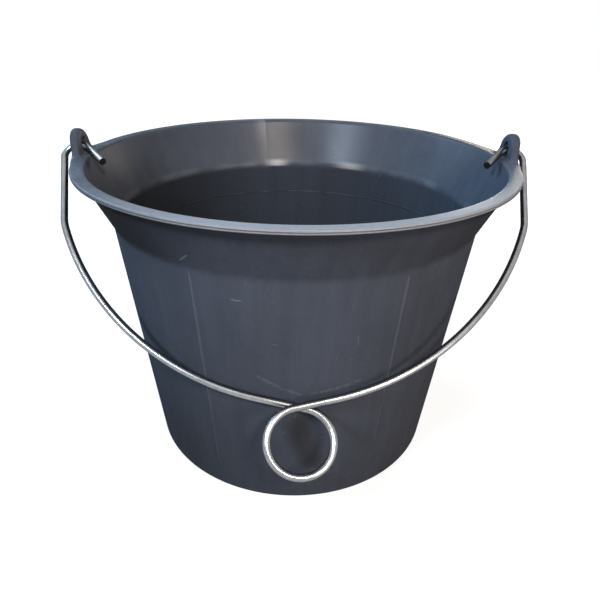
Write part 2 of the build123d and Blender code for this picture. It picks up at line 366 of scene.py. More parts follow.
class PlasticSkin:
    """The moulding's finish, worked out from the place on the moulding."""

    def __init__(self, tree, shell):
        self.tree = tree
        self.shell = shell
        self.place = tree.node("ShaderNodeTexCoord").out("Object")
        split = tree.node("ShaderNodeSeparateXYZ", {}, {"Vector": self.place})
        across, depth, self.height = (split.out(name) for name in "XYZ")
        self.radius = tree.math("SQRT", across * across + depth * depth)
        self.from_front = tree.math("ARCTAN2", across, depth * -1.0)
        self.from_back = tree.math("ARCTAN2", across, depth)
        # How far inside the outer face of the wall and the flare the place lies, with the kink rounded off
        kink_blend = 1.4 * MM
        wall_slope = (shell.kink_radius - shell.base_radius) / shell.kink_height
        self.lip_bottom = shell.rim_height - shell.lip_thickness
        flare_slope = shell.lip_radius - shell.lip_overhang - shell.kink_radius
        flare_slope = flare_slope / (self.lip_bottom - shell.kink_height)
        rise = self.height - shell.kink_height
        outside = tree.math("SMOOTH_MAX", wall_slope * rise, flare_slope * rise, kink_blend)
        self.depth_in = shell.kink_radius + outside - self.radius
        self.inside = tree.ramp(self.depth_in, 0.3 * shell.wall, 0.7 * shell.wall)
        # Broad clouds, flow marks drawn up the wall, the fine peel of the mould and its grain
        self.clouds = tree.noise(self.place, 11.0, 3.0, 0.55)
        self.flow = tree.noise(tree.stretch(self.place, (1.0, 1.0, 0.05)), 85.0, 4.0, 0.6)
        self.peel = tree.noise(self.place, 420.0, 2.0, 0.5)
        self.grain = tree.noise(self.place, 1900.0, 1.0, 0.5)

    def stroke(self, start, end, half_width):
        """1 along a straight mark on the wall, falling to 0 at its half width in millimetres.

        Its ends are (degrees from the front, millimetres up).
        """
        tree = self.tree
        arc = radians(self.shell.kink_radius)
        reach = ((end[0] - start[0]) * arc, (end[1] - start[1]) * MM)
        run = (self.from_front - radians(start[0])) * self.shell.kink_radius
        rise = self.height - start[1] * MM
        part = tree.clamp((run * reach[0] + rise * reach[1]) / (reach[0] ** 2 + reach[1] ** 2))
        aside = run - part * reach[0]
        above = rise - part * reach[1]
        away = tree.math("SQRT", aside * aside + above * above)
        return tree.ramp(away, half_width * MM, 0.25 * half_width * MM) * (1.0 - self.inside)

    def scratches(self, squeeze, scale):
        """Thin lines that are drawn out along the squeezed directions."""
        drawn = self.tree.stretch(self.place, squeeze)
        return self.tree.ramp(self.tree.noise(drawn, scale, 1.0), 0.70, 0.78)

    def scuffs(self):
        """Level and upright scratches, in patches."""
        patches = self.tree.ramp(self.tree.noise(self.place, 26.0, 2.0), 0.52, 0.72)
        level = self.scratches((0.3, 0.3, 1.0), 520.0)
        upright = self.scratches((1.0, 1.0, 0.12), 700.0)
        return patches * self.tree.larger(level, upright)

    def marks(self):
        """The single knocks on the front, and where the bail has rubbed."""
        tree = self.tree
        knocks = [
            0.30 * self.stroke((-29.5, 195.9), (-26.8, 200.9), 0.7),
            0.30 * self.stroke((-17.0, 174.9), (-16.0, 174.4), 0.8),
            0.26 * self.stroke((-16.0, 174.4), (-14.7, 174.9), 0.7),
            0.15 * self.stroke((-6.8, 145.6), (-5.6, 145.4), 0.6),
            0.10 * self.stroke((16.0, 150.0), (16.2, 143.0), 0.8),
        ]
        rubs = tree.larger(
            self.stroke((-11.5, 119.6), (-4.5, 110.8), 1.5),
            self.stroke((-4.5, 110.8), (0.6, 106.2), 1.6),
            self.stroke((4.2, 106.4), (11.0, 108.9), 1.4),
            self.stroke((11.0, 108.9), (18.5, 113.2), 1.6),
        )
        return tree.larger(*knocks, 0.13 * rubs * tree.ramp(self.peel + self.flow, 0.7, 1.2))

    def ridge_crests(self):
        """The crests of the ridges, which stand out of the wall: lightened for wear and as a painted
        highlight, less so lower down.
        """
        kink = self.shell.kink_height
        wall_only = self.tree.ramp(self.height, kink + 1 * MM, kink - 2 * MM)
        # Weight of the crest's wear and painted highlight, less lower down
        worn = 0.2 + 0.8 * self.tree.ramp(self.height, 70 * MM, 135 * MM)
        return wall_only * worn * self.tree.ramp(self.depth_in, -0.08 * MM, -0.42 * MM)

    def lip(self):
        """The lip's top and edge, without the ears."""
        tree = self.tree
        shell = self.shell
        mouth = shell.lip_radius - shell.lip_width
        raised = tree.ramp(self.height, self.lip_bottom + 0.3 * MM, self.lip_bottom + 1.2 * MM)
        no_ear = tree.ramp(self.height, shell.rim_height + 2.0 * MM, shell.rim_height + 0.3 * MM)
        return raised * no_ear * tree.ramp(self.radius, mouth - 0.6 * MM, mouth + 1.0 * MM)

    def lip_sheen_side(self):
        """1 in front and a little to the right, where the lip is lightened for wear and as painted sheen,
        and 0 from the ears backwards.
        """
        return self.tree.ramp(abs(self.from_front - radians(12)), radians(78), radians(22))

    def groove(self):
        """The parting groove in the lip's edge, darkened as painted shade in the groove."""
        shell = self.shell
        groove_height = shell.rim_height - shell.groove_drop
        line = self.tree.bump_at(self.height, groove_height, 1.6 * shell.groove_radius)
        return line * self.tree.ramp(self.radius, shell.lip_radius - 1.2 * MM, shell.lip_radius - 0.4 * MM)

    def inner_flare(self):
        """The inside of the flare and of the kink below it."""
        kink = self.shell.kink_height
        return self.inside * self.tree.ramp(self.height, kink - 6 * MM, kink - 1 * MM)

    def behind(self, near, far):
        """1 at the back up to one angle from its middle, falling to 0 at the other; both in degrees."""
        return self.tree.ramp(abs(self.from_back), radians(far), radians(near))

    def kink_highlights(self):
        """The inner edge of the kink: a broken line of painted highlight, and two painted highlights at the
        back.
        """
        tree = self.tree
        kink = self.shell.kink_height
        above = tree.ramp(self.height, kink - 3.2 * MM, kink - 1.2 * MM)
        edge = self.inside * above * tree.ramp(self.height, kink + 5 * MM, kink + 0.5 * MM)
        broken = tree.ramp(tree.noise(self.place, 40.0, 3.0), 0.45, 0.65)
        # Two painted highlights, at the places on the kink where lamps glint
        small = tree.bump_at(self.from_back, radians(-6.9), radians(6.5))
        long = tree.bump_at(self.from_back, radians(24.5), radians(9))
        return edge * broken, edge * tree.larger(0.8 * small, 0.5 * long)

    def weld(self):
        """The weld line that the plastic left at the back of the flare, and the pale fan beside it, which is
        partly a painted highlight.
        """
        tree = self.tree
        aside = (self.from_back + radians(10.5)) * self.shell.kink_radius
        upper = tree.ramp(self.height, self.shell.kink_height + 10 * MM, self.shell.rim_height - 6 * MM)
        line = tree.bump_at(aside, 0.0, 1.1 * MM) * (0.25 + 0.75 * upper)
        beside = tree.ramp(aside, -13 * MM, -1 * MM) * tree.ramp(aside, 0.6 * MM, -0.6 * MM)
        fan = beside * (0.35 + 0.65 * upper)
        flare = self.inner_flare()
        return flare * line, flare * fan

    def level_line(self):
        """The crest of the level line, broken here and there: lightened for wear and as a painted highlight
        that fades away from the back.
        """
        line = self.tree.bump_at(self.height, self.shell.level_height, 1.2 * self.shell.level_radius)
        broken = self.tree.ramp(self.tree.noise(self.place, 60.0, 2.0), 0.38, 0.55)
        return self.inside * line * broken * (0.15 + 0.85 * self.behind(18, 36))

    def dirt_and_shade(self):
        """Painted shade outside, in the colour of dirt: darker towards the bottom and the left, a painted
        shadow behind the ring, and painted shade under the lip.
        """
        tree = self.tree
        left = tree.ramp(self.from_front, radians(-10), radians(-45))
        # Painted shade: darker towards the bottom, more so at the left
        low = tree.ramp(self.height, 150 * MM, 10 * MM) * (0.25 + 0.7 * self.clouds) * (0.35 + 0.45 * left)
        # Painted shadow of the ring on the wall
        ring_shadow = (0.2 + 0.6 * self.clouds) * self.stroke((0.0, 76.0), (5.0, 44.0), 19.0)
        # Painted shade on the flare under the lip, at the sides
        flare = tree.ramp(self.height, self.shell.kink_height - 2 * MM, self.shell.kink_height + 6 * MM)
        flare = flare * tree.ramp(self.height, self.lip_bottom + 0.5 * MM, self.lip_bottom)
        dark_sides = tree.ramp(abs(self.from_front), radians(15), radians(50))
        dark_sides = dark_sides * tree.ramp(abs(self.from_front), radians(135), radians(95))
        under_lip_shade = (0.5 + 0.35 * left) * flare * dark_sides * (0.6 + 0.8 * self.clouds)
        return (1.0 - self.inside) * tree.larger(low, ring_shadow, under_lip_shade)

    def inner_shade(self):
        """Painted shade inside the wall below the kink, heavier towards the left."""
        tree = self.tree
        left = tree.ramp(self.from_back, radians(-5), radians(-50))
        below = tree.ramp(self.height, self.shell.kink_height + 1 * MM, self.shell.kink_height - 5 * MM)
        return self.inside * below * (0.2 + 0.45 * self.clouds + 0.3 * left)


def plastic_finish():
    """Moulded polyethylene: flow marks, fine peel, scuffs, painted shade in the colour of dirt, a lip
    lightened by wear and painted sheen, painted highlights on the kink, ridges and level line, and a
    polished flare inside.

    The moulding and its ridges share it.
    """
    known = bpy.data.materials.get("moulded_plastic")
    if known:
        return known
    choice = bpy.context.scene.bucket_finish
    material, tree = new_material("moulded_plastic")
    skin = PlasticSkin(tree, bpy.context.scene.bucket_shell)
    clouds, flow, peel = skin.clouds - 0.5, skin.flow - 0.5, skin.peel - 0.5

    tone = tree.ramp(0.5 + 0.9 * clouds + 0.6 * flow + 0.25 * peel, 0.0, 1.0)
    base = tree.mix(tone, tinted(choice.plastic, 0.74), tinted(choice.plastic, 1.26))
    # Painted shade outside, in the colour of dirt
    base = tree.mix(skin.dirt_and_shade(), base, choice.dirt_and_shade)
    # Painted shade inside the wall
    base = tree.mix(skin.inner_shade(), base, choice.inner_shade)

    scuffs = skin.scuffs()
    marks = skin.marks()
    lip = skin.lip()
    weld_line, weld_fan = skin.weld()
    kink_highlight_line, kink_highlight_spots = skin.kink_highlights()
    # Each kind of wear and painted highlight, by how far it takes the plastic to its pale colour
    wear_and_highlight = tree.larger(
        0.2 * scuffs,
        marks,
        # Ridge crests: wear and a painted highlight
        0.09 * skin.ridge_crests() * (1.0 + 1.2 * flow),
        # Lip: painted sheen in front, with some wear
        lip * (0.02 + 0.84 * skin.lip_sheen_side() + 0.4 * clouds + 0.3 * peel),
        # Level line: a painted highlight with some wear
        0.22 * skin.level_line(),
        # Weld fan: pale, partly a painted highlight
        0.30 * weld_fan * (1.0 + 2.0 * clouds),
        # Kink edge: a broken line of painted highlight
        0.12 * kink_highlight_line,
    )
    base = tree.mix(tree.clamp(wear_and_highlight), base, choice.wear_and_highlight)
    # Two painted highlights on the inner kink
    base = tree.mix(kink_highlight_spots, base, choice.highlight_white)
    # Painted shade in the lip's groove, and the dark weld line
    base = tree.mix(tree.larger(0.75 * skin.groove(), 0.55 * weld_line), base, choice.dirt_and_shade)

    roughness = choice.plastic_gloss + 0.12 * clouds + 0.14 * flow + 0.12 * scuffs - 0.1 * skin.inside
    polished_flare = skin.inner_flare() * (0.12 + 0.88 * skin.behind(35, 85))
    polish = tree.larger(0.15 * lip, (0.38 + 0.5 * clouds) * polished_flare, 0.02)
    height = skin.peel + 0.35 * skin.grain + 0.4 * skin.flow - 0.5 * scuffs - 1.5 * marks - 1.2 * weld_line
    relief = tree.node(
        "ShaderNodeBump", {}, {"Strength": 0.22, "Distance": 0.15 * MM, "Height": height}
    )
    shader = tree.node(
        "ShaderNodeBsdfPrincipled",
        {},
        {
            "Base Color": base,
            "Roughness": roughness,
            "Specular IOR Level": 0.0,
            "Coat Weight": polish,
            "Coat Roughness": choice.polish_gloss,
            "Normal": relief,
        },
    )
    surface(tree, shader)
    return material


def zinc_finish(wire_length):
    """Zinc-coated drawn wire: fine streaks along it, a little mottling, and dark cut ends."""
    choice = bpy.context.scene.bucket_finish
    material, tree = new_material("zinc_wire")
    place = tree.node("ShaderNodeTexCoord").out("Object")
    along = tree.node("ShaderNodeAttribute", {"attribute_name": "along"}).out("Fac")
    section = tree.node("ShaderNodeAttribute", {"attribute_name": "section"}).out("Vector")
    streaks_along = 45.0
    streaks_round = 5.0
    drawn = tree.node("ShaderNodeCombineXYZ", {}, {"Z": along * streaks_along})
    spread = tree.node(
        "ShaderNodeVectorMath", {"operation": "SCALE"}, {"Vector": section, "Scale": streaks_round}
    )
    lengthwise = tree.node("ShaderNodeVectorMath", {"operation": "ADD"}, {0: spread, 1: drawn})
    streaks = tree.noise(lengthwise, 1.0, 4.0, 0.65)
    mottle = tree.noise(place, 260.0, 3.0, 0.6)
    tone = tree.ramp(0.5 + 1.0 * (streaks - 0.5) + 0.7 * (mottle - 0.5), 0.15, 0.85)
    skin = tree.mix(tone, tinted(choice.zinc, 0.72), tinted(choice.zinc, 1.22))
    from_end = tree.math("MINIMUM", along, wire_length - along)
    cut = tree.ramp(from_end, 0.35 * MM, 0.05 * MM)
    base = tree.mix(cut, skin, choice.cut_steel)
    relief = tree.node(
        "ShaderNodeBump", {}, {"Strength": 0.1, "Distance": 0.05 * MM, "Height": streaks + 0.4 * mottle}
    )
    shader = tree.node(
        "ShaderNodeBsdfPrincipled",
        {},
        {
            "Base Color": base,
            "Metallic": 1.0,
            "Specular Tint": opaque(choice.zinc_edge),
            "Roughness": choice.wire_gloss + 0.2 * (streaks - 0.5) + 0.2 * cut,
            "Normal": relief,
        },
    )
    surface(tree, shader)
    return material


def show(name, data):
    """A new object in the scene."""
    made = bpy.data.objects.new(name, data)
    bpy.context.scene.collection.objects.link(made)
    return made


def settle(made):
    """The plain mesh that an object's modifiers make. The modifiers are dropped."""
    bpy.context.view_layer.update()
    evaluated = made.evaluated_get(bpy.context.evaluated_depsgraph_get())
    mesh = bpy.data.meshes.new_from_object(evaluated)
    made.modifiers.clear()
    return mesh


def drop_slivers(mesh):
    """Dissolves the needle faces that a cut leaves."""
    work = bmesh.new()
    work.from_mesh(mesh)
    bmesh.ops.dissolve_degenerate(work, dist=sliver_length, edges=work.edges)
    work.to_mesh(mesh)
    work.free()


def mesh_from_grid(name, points):
    """A mesh from columns of points that close up in a ring, with coincident points merged."""
    columns, rings = points.shape[:2]
    keys = np.round(points.reshape(-1, 3) / same_place).astype(np.int64)
    _, first, index = np.unique(keys, axis=0, return_index=True, return_inverse=True)
    index = index.reshape(columns, rings)
    faces = []
    for column in range(columns):
        beside = (column + 1) % columns
        for ring in range(rings - 1):
            corners = (
                index[column, ring], index[beside, ring], index[beside, ring + 1], index[column, ring + 1]
            )
            face = [int(corner) for place, corner in enumerate(corners) if corner != corners[place - 1]]
            if len(set(face)) >= 3:
                faces.append(face)
    mesh = bpy.data.meshes.new(name)
    mesh.from_pydata(points.reshape(-1, 3)[first].tolist(), [], faces)
    mesh.validate()
    return mesh


def corner_arc(before, corner, after, radius, steps):
    """Points of the arc that rounds a corner of an outline."""
    corner = np.array(corner)
    back = np.array(before) - corner
    back = back / np.hypot(*back)
    on = np.array(after) - corner
    on = on / np.hypot(*on)
    half = np.arccos(np.dot(back, on)) / 2
    centre = corner + (back + on) / np.hypot(*(back + on)) * radius / sin(half)
    start = corner + back * radius / tan(half) - centre
    end = corner + on * radius / tan(half) - centre
    turn = pi - 2 * half
    return [
        centre + (start * sin((1 - part) * turn) + end * sin(part * turn)) / sin(turn)
        for part in np.linspace(0, 1, steps + 1)
    ]


def straight(start, end, steps, guard=0.5 * MM):
    """Points between two ends, with one close to each end so that a rounding keeps its own shading."""
    reach = np.hypot(*(end - start))
    parts = [step / steps for step in range(1, steps)]
    if reach > 4 * guard:
        parts = sorted(parts + [guard / reach, 1 - guard / reach])
    return [start + (end - start) * part for part in parts]


def outline(corners, arc_steps=7):
    """Points along a rounded outline.

    A corner is (radius, height, rounding, steps of the straight stretch after it).
    """
    points = []
    stretch = 0
    for place, (radius, height, rounding, steps) in enumerate(corners):
        corner = (radius, height)
        if rounding:
            arc = corner_arc(corners[place - 1][:2], corner, corners[place + 1][:2], rounding, arc_steps)
        else:
            arc = [np.array(corner)]
        if points:
            points += straight(points[-1], arc[0], stretch)
        points += arc
        stretch = steps
    return points


def smooth(value, low, high):
    """0 below low, 1 above high, with a smooth rise between."""
    part = min(max((value - low) / (high - low), 0.0), 1.0)
    return part * part * (3 - 2 * part)


class MouldingShape:
    """Works out the moulding's surface, column by column round the axis."""

    ear_columns = 72
    shoulder_columns = 7
    wall_columns = 86
    face_steps = 10
    edge_steps = 5
    top_steps = 4
    blend_steps = 6
    half_round_steps = 6
    hole_columns = 48
    hole_round_steps = 4
    # The hole's cutter stands out of both faces by this much
    hole_clear = 3 * MM
    # The inner face narrows towards the lip over this height
    narrowing = 5 * MM

    def __init__(self, shell, ears):
        self.shell = shell
        self.ears = ears
        self.rim = shell.rim_height
        self.ear_outer = shell.lip_radius + ears.overhang
        self.ear_inner = self.ear_outer - ears.thickness
        self.blend_turn = pi / 2 - ears.draft
        self.blend_foot = self.ear_inner - ears.blend * tan(self.blend_turn / 2)
        self.hole_height = ears.top - ears.hole_margin - ears.hole_radius
        # Outline of the tongue, seen along the hinge axis
        self.crown_height = ears.top - ears.crown
        side_top = (ears.crown * cos(ears.lean), self.crown_height + ears.crown * sin(ears.lean))
        side_foot = side_top[0] + (side_top[1] - self.rim) * tan(ears.lean)
        sweep_run = ears.sweep * tan((pi / 2 - ears.lean) / 2)
        self.foot = side_foot + sweep_run
        self.turn = pi / 2 - ears.lean
        sweep_top = (side_foot - sweep_run * sin(ears.lean), self.rim + sweep_run * cos(ears.lean))
        self.side_top = side_top
        self.sweep_top = sweep_top
        side_length = hypot(side_top[0] - sweep_top[0], side_top[1] - sweep_top[1])
        self.lengths = (ears.sweep * self.turn, side_length, ears.crown * self.turn)
        # The lip's edge stays widened beside the foot, on a circle about a point of the X axis
        half = self.foot + ears.shoulder
        end = sqrt(shell.lip_radius**2 - half**2)
        self.shoulder_middle = (self.ear_outer**2 - shell.lip_radius**2) / (2 * (self.ear_outer - end))
        self.shoulder_radius = self.ear_outer - self.shoulder_middle
        self.shoulder_angle = atan2(half, end)
        self.foot_angle = self.edge_angle(self.foot)
        self.lower = outline(self.lower_corners())
        self.inner = outline(self.inner_corners())

    def half_round(self, radius, height, size, rise):
        """Corners of a small half circle towards the axis, from below (rise 1) or from above (rise -1)."""
        return [
            (radius - size * sin(turn), height - rise * size * cos(turn), 0, 1)
            for turn in np.linspace(0, pi, self.half_round_steps + 1)
        ]

    def lower_corners(self):
        """Outline from the middle of the base up the outside to the lip's edge."""
        shell = self.shell
        groove_height = self.rim - shell.groove_drop
        groove = self.half_round(shell.lip_radius, groove_height, shell.groove_radius, 1)
        lip_bottom = self.rim - shell.lip_thickness
        return [
            (0, 0, 0, 4),
            (shell.base_radius, 0, shell.base_round, 14),
            (shell.kink_radius, shell.kink_height, shell.kink_round, 6),
            (shell.lip_radius - shell.lip_overhang, lip_bottom, shell.flare_round, 2),
            (shell.lip_radius, lip_bottom, shell.lip_round, 1),
            *groove,
            (shell.lip_radius, self.rim - shell.lip_round, 0, 0),
        ]

    def inner_corners(self):
        """Outline from the lip's top down the inside to the middle of the floor."""
        shell = self.shell
        slope = (shell.kink_radius - shell.base_radius) / shell.kink_height
        across = shell.wall * sqrt(1 + slope**2)

        def inside(height):
            return shell.base_radius + slope * height - across

        bead = self.half_round(inside(shell.level_height), shell.level_height, shell.level_radius, -1)
        bead[0] = (inside(bead[0][1]), *bead[0][1:])
        bead[-1] = (inside(bead[-1][1]), *bead[-1][1:3], 10)
        return [
            (self.blend_foot / cos(self.foot_angle), self.rim, 0, 2),
            (shell.lip_radius - shell.lip_width, self.rim, shell.mouth_round, 6),
            (inside(shell.kink_height), shell.kink_height, shell.kink_round, 5),
            *bead,
            (inside(shell.floor), shell.floor, shell.floor_round, 5),
            (0, shell.floor, 0, 0),
        ]

    def edge_angle(self, sideways):
        """Angle about the axis of a point of the widened lip's edge."""
        return atan2(sideways, self.shoulder_middle + sqrt(self.shoulder_radius**2 - sideways**2))

    def edge_radius(self, turn):
        """Radius of the lip's edge at an angle from the middle of an ear."""
        if abs(turn) >= self.shoulder_angle:
            return self.shell.lip_radius
        lever = self.shoulder_middle
        return lever * cos(turn) + sqrt(self.shoulder_radius**2 - (lever * sin(turn)) ** 2)

    def outer_face(self, sideways, height):
        """Distance out of the ear's outer face, which is part of a cone."""
        radius = self.shoulder_radius + (height - self.rim) * tan(self.ears.splay)
        return self.shoulder_middle + sqrt(radius**2 - sideways**2)

    def inner_face(self, height):
        """Distance out of the ear's inner face, with the hollow at its foot."""
        rise = max(height - self.rim, 0.0)
        blend = self.ears.blend
        if rise < blend * (1 - cos(self.blend_turn)):
            return self.blend_foot + sqrt(max(blend**2 - (blend - rise) ** 2, 0.0))
        return self.ear_inner + rise * tan(self.ears.draft)

    def crest(self, part):
        """Point and outward direction on the tongue's outline; part runs from -1 to 1 across the ear."""
        sweep, side, crown = self.lengths
        run = (1 - abs(part)) * (sweep + side + crown)
        hand = 1 if part >= 0 else -1
        if run < sweep:
            turn = run / self.ears.sweep
            place = (self.foot - self.ears.sweep * sin(turn), self.rim + self.ears.sweep * (1 - cos(turn)))
            facing = (sin(turn), cos(turn))
        elif run < sweep + side:
            step = (run - sweep) / side
            place = [low + (high - low) * step for low, high in zip(self.sweep_top, self.side_top)]
            facing = (cos(self.ears.lean), sin(self.ears.lean))
        else:
            turn = self.ears.lean + (run - sweep - side) / self.ears.crown
            place = (self.ears.crown * cos(turn), self.crown_height + self.ears.crown * sin(turn))
            facing = (cos(turn), sin(turn))
        return hand * place[0], place[1], hand * facing[0], facing[1]

    def lower_points(self, turn):
        """The outside below the lip's top, at an angle from the middle of an ear."""
        shell = self.shell
        widened = self.edge_radius(turn) - shell.lip_radius
        flare = shell.lip_radius - shell.lip_overhang
        points = []
        for radius, height in self.lower:
            if height > self.rim - shell.lip_thickness - 0.01 * MM and radius > flare:
                out = min((radius - flare) / (shell.lip_overhang - shell.lip_round), 1.0)
                lean = (self.rim - height) * tan(self.ears.splay) * widened / self.ears.overhang
                radius += out * (widened - lean)
            points.append((radius * cos(turn), radius * sin(turn), height))
        return points

    def lip_top(self, turn):
        """The lip's top where there is no ear; the ear's rings meet in single points."""
        edge = self.edge_radius(turn)
        rounding = self.shell.lip_round
        ways = [(edge, self.rim - rounding)] * self.face_steps
        for step in range(self.edge_steps + 1):
            bend = step / self.edge_steps * pi / 2
            ways.append((edge - rounding * (1 - cos(bend)), self.rim - rounding * (1 - sin(bend))))
        inner = self.inner[0][0]
        ways += [
            (edge - rounding + (inner - edge + rounding) * step / self.top_steps, self.rim)
            for step in range(1, self.top_steps + 1)
        ]
        ways += [(inner, self.rim)] * (self.edge_steps + 2 * self.blend_steps)
        return [(radius * cos(turn), radius * sin(turn), height) for radius, height in ways]

    def ear_over(self, turn, part):
        """Over the ear: up its outer face, round its crest and down its inner face to the lip."""
        ears = self.ears
        shell = self.shell
        side, top, facing_side, facing_up = self.crest(part)
        rise = top - self.rim
        foot_side = self.edge_radius(turn) * sin(turn)
        start = self.rim - shell.lip_round
        outer_round = min(shell.lip_round + 0.5 * rise, ears.edge)
        inner_round = min(0.5 * rise, ears.edge)
        inner_foot = (self.blend_foot, self.blend_foot * tan(turn))
        narrowed = inner_foot[1] / foot_side if abs(foot_side) > same_place else 1.0
        inner_side = side * (1 + (narrowed - 1) * (1 - smooth(rise, 0, self.narrowing)))
        points = []
        # Outer face, in straight fans from the lip's edge
        face_top = (side - outer_round * facing_side, top - outer_round * facing_up)
        for step in range(self.face_steps):
            up = step / self.face_steps
            sideways = foot_side + (face_top[0] - foot_side) * up
            height = start + (face_top[1] - start) * up
            points.append((self.outer_face(sideways, height), sideways, height))
        # Outer rounding
        for step in range(self.edge_steps + 1):
            bend = step / self.edge_steps * pi / 2
            back = outer_round * (1 - sin(bend))
            sideways = side - back * facing_side
            height = top - back * facing_up
            out = self.outer_face(sideways, height) - outer_round * (1 - cos(bend))
            points.append((out, sideways, height))
        # Crest
        crest_start = points[-1][0]
        crest_end = self.inner_face(top) + inner_round
        for step in range(1, self.top_steps + 1):
            over = step / self.top_steps
            out = crest_start + (crest_end - crest_start) * over
            points.append((out, side + (inner_side - side) * over, top))
        # Inner rounding
        for step in range(1, self.edge_steps + 1):
            bend = (1 - step / self.edge_steps) * pi / 2
            back = inner_round * (1 - sin(bend))
            height = top - back * facing_up
            sideways = inner_side - back * facing_side
            points.append((self.inner_face(height) + inner_round * (1 - cos(bend)), sideways, height))
        # Inner face down to the hollow, then the hollow out on to the lip
        low_side, low_top = points[-1][1], points[-1][2]
        hollow_rise = min(ears.blend * (1 - cos(self.blend_turn)), low_top - self.rim)
        heights = [
            low_top + (self.rim + hollow_rise - low_top) * step / self.blend_steps
            for step in range(1, self.blend_steps + 1)
        ]
        hollow_turn = np.arccos(1 - hollow_rise / ears.blend)
        heights += [
            self.rim + ears.blend * (1 - cos(hollow_turn * (1 - step / self.blend_steps)))
            for step in range(1, self.blend_steps + 1)
        ]
        for height in heights:
            down = (low_top - height) / (low_top - self.rim) if low_top > self.rim else 1.0
            points.append((self.inner_face(height), low_side + (inner_foot[1] - low_side) * down, height))
        return points

    def inner_points(self, turn, part):
        """The inside, from the lip's top to the middle of the floor."""
        start = self.inner[0][0] if part is None else self.blend_foot / cos(turn)
        flat = [radius for radius, height in self.inner if height > self.rim - 0.001 * MM]
        stretched = (start - flat[-1]) / (flat[0] - flat[-1])
        points = []
        for radius, height in self.inner[1:]:
            if radius > flat[-1]:
                radius = flat[-1] + (radius - flat[-1]) * stretched
            points.append((radius * cos(turn), radius * sin(turn), height))
        return points

    def columns(self):
        """Each column's angle from the middle of its ear, and its part across the ear if it is in one."""
        steps = []
        for step in range(self.ear_columns + 1):
            part = -1 + 2 * step / self.ear_columns
            steps.append((self.edge_angle(part * self.foot), part))
        ends = [
            (self.foot_angle, self.shoulder_angle, self.shoulder_columns),
            (self.shoulder_angle, pi - self.shoulder_angle, self.wall_columns),
            (pi - self.shoulder_angle, pi - self.foot_angle, self.shoulder_columns),
        ]
        for start, end, count in ends:
            steps += [(start + (end - start) * step / count, None) for step in range(1, count + 1)]
        return steps[:-1]

    def grid(self):
        """All the columns: one ear and the wall up to the next ear, then the same turned half round."""
        columns = []
        for turn, part in self.columns():
            near = turn if turn < pi / 2 else turn - pi
            cap = self.lip_top(near) if part is None else self.ear_over(turn, part)
            points = np.array(self.lower_points(near) + cap + self.inner_points(near, part))
            if turn >= pi / 2:
                points = points * (-1, -1, 1)
            columns.append(points)
        half = np.array(columns)
        return np.concatenate([half, half * (-1, -1, 1)])

    def hole_cutter(self, hand):
        """The hole through one ear, with rounded edges that follow the ear's leaning faces."""
        rounding = self.ears.hole_round
        radius = self.ears.hole_radius
        bends = [step / self.hole_round_steps * pi / 2 for step in range(self.hole_round_steps + 1)]
        flare = [(rounding * (1 - sin(bend)), rounding * (1 - cos(bend))) for bend in bends]

        def inner_face(sideways, height):
            return self.inner_face(height)

        rings = [(self.outer_face, self.hole_clear, rounding)]
        rings += [(self.outer_face, -deep, wide) for wide, deep in flare]
        rings += [(inner_face, deep, wide) for wide, deep in reversed(flare)]
        rings += [(inner_face, -self.hole_clear, rounding)]
        count = self.hole_columns
        points = np.zeros((count, len(rings) + 2, 3))
        for column in range(count):
            turn = 2 * pi * column / count
            for place, (face, offset, wider) in enumerate(rings):
                sideways = (radius + wider) * cos(turn)
                height = self.hole_height + (radius + wider) * sin(turn)
                out = face(sideways, height) + offset
                points[column, place + 1] = (hand * out, hand * sideways, height)
        # Both ends close in a middle point
        points[:, 0] = points[:, 1].mean(axis=0)
        points[:, -1] = points[:, -2].mean(axis=0)
        return mesh_from_grid("ear_hole", points[::-1])


class BUCKET_OT_moulding(bpy.types.Operator):
    """Make the bucket's moulding: floor, wall, flare, lip and the two pierced ears"""

    bl_idname = "bucket.moulding"
    bl_label = "Moulding"

    def execute(self, context):
        shape = MouldingShape(context.scene.bucket_shell, context.scene.bucket_ears)
        moulding = show("moulding", mesh_from_grid("moulding", shape.grid()))
        cutters = [show("ear_hole", shape.hole_cutter(hand)) for hand in (1, -1)]
        for cutter in cutters:
            cut = moulding.modifiers.new("hole", "BOOLEAN")
            cut.operation = "DIFFERENCE"
            cut.solver = "EXACT"
            cut.object = cutter
        moulding.data = settle(moulding)
        for cutter in cutters:
            bpy.data.objects.remove(cutter)
        moulding.data.name = "moulding"
        drop_slivers(moulding.data)
        moulding.data.shade_smooth()
        moulding.data.set_sharp_from_angle(angle=moulding_crease)
        moulding.data.materials.clear()
        moulding.data.materials.append(plastic_finish())
        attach(moulding, "bucket")
        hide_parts("bucket_body")
        return {"FINISHED"}


def geometry_tree(name, inputs):
    """A Geometry Nodes tree with named inputs; gives the tree, its input values and their identifiers."""
    group = bpy.data.node_groups.new(name, "GeometryNodeTree")
    identifiers = {}
    for label, kind in inputs.items():
        socket = group.interface.new_socket(name=label, in_out="INPUT", socket_type=kind)
        identifiers[label] = socket.identifier
    group.interface.new_socket(name="Geometry", in_out="OUTPUT", socket_type="NodeSocketGeometry")
    tree = Tree(group)
    entry = tree.node("NodeGroupInput")
    return tree, {label: entry.out(identifier) for label, identifier in identifiers.items()}, identifiers


def finish_geometry(tree, geometry, material):
    """Realizes what a tree made, gives it its material and ends the tree."""
    smooth_shaded = tree.node("GeometryNodeSetShadeSmooth", {}, {"Geometry": geometry})
    realized = tree.node("GeometryNodeRealizeInstances", {}, {"Geometry": smooth_shaded})
    finished = tree.node("GeometryNodeSetMaterial", {}, {"Geometry": realized, "Material": material})
    tree.node("NodeGroupOutput", {}, {"Geometry": finished})


def grow(made, tree, identifiers, chosen):
    """Runs a Geometry Nodes tree on an object with the chosen inputs, and gives the mesh that it makes."""
    modifier = made.modifiers.new(tree.node_tree.name, "NODES")
    modifier.node_group = tree.node_tree
    for label, value in chosen.items():
        modifier[identifiers[label]] = value
    return settle(made)


